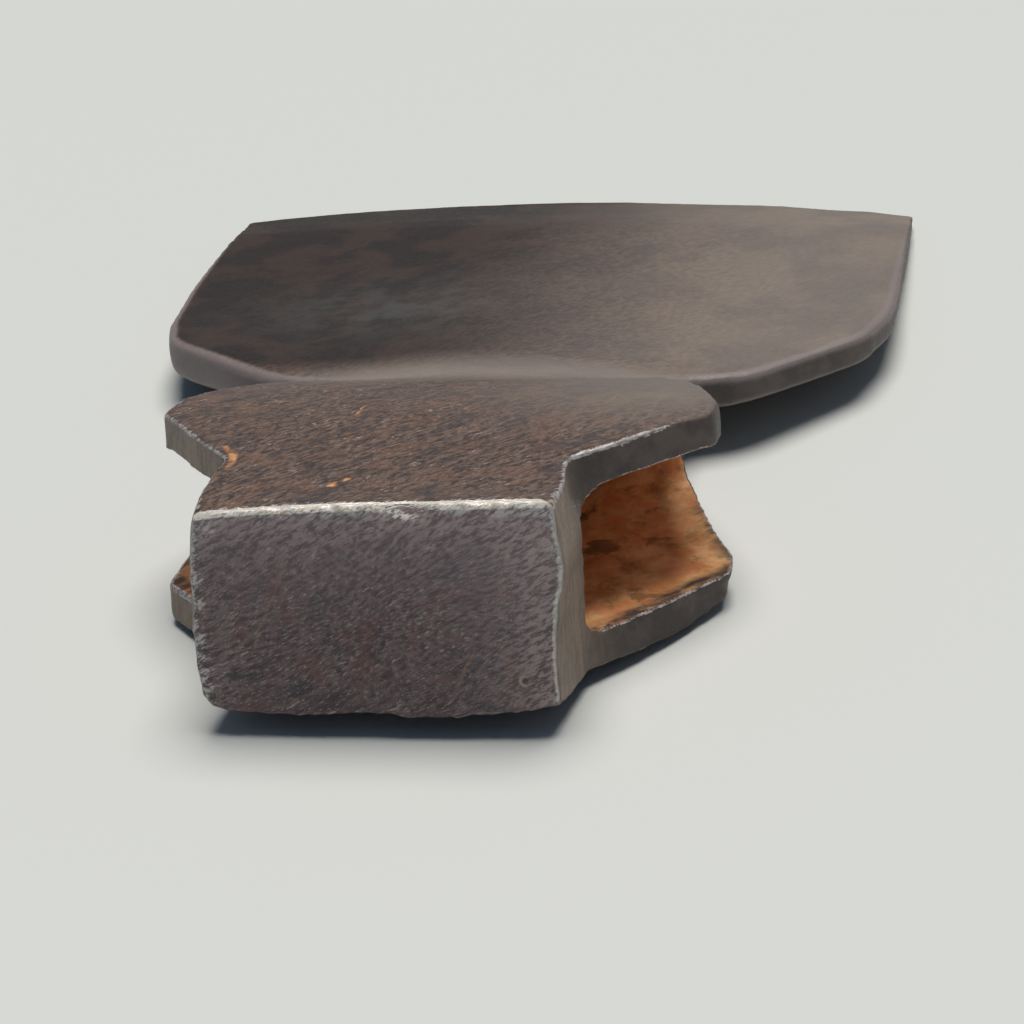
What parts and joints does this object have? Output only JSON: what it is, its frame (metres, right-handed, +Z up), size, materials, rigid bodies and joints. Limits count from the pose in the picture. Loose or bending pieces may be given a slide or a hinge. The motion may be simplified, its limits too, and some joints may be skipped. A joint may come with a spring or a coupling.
{
  "type": "axe head",
  "caption": "Forged axe head lying on its cheek: thick square poll, through eye for a haft between pointed lugs, narrow neck and a wide blade with rounded shoulders and a curved edge.",
  "frame": {"origin": "on the ground, under the middle of the head's box as it lies", "axes": "+X along the eye towards the toe side, +Y from the poll to the cutting edge, which dips 5.6 degrees, +Z up"},
  "size_m": [0.1424, 0.2122, 0.0388],
  "materials": {
    "forged_iron": "dark brown forge patina with rust in the eye and bright worn arrises"
  },
  "bodies": {
    "root": {"axe_head": "forged_iron"}
  },
  "joints": []
}
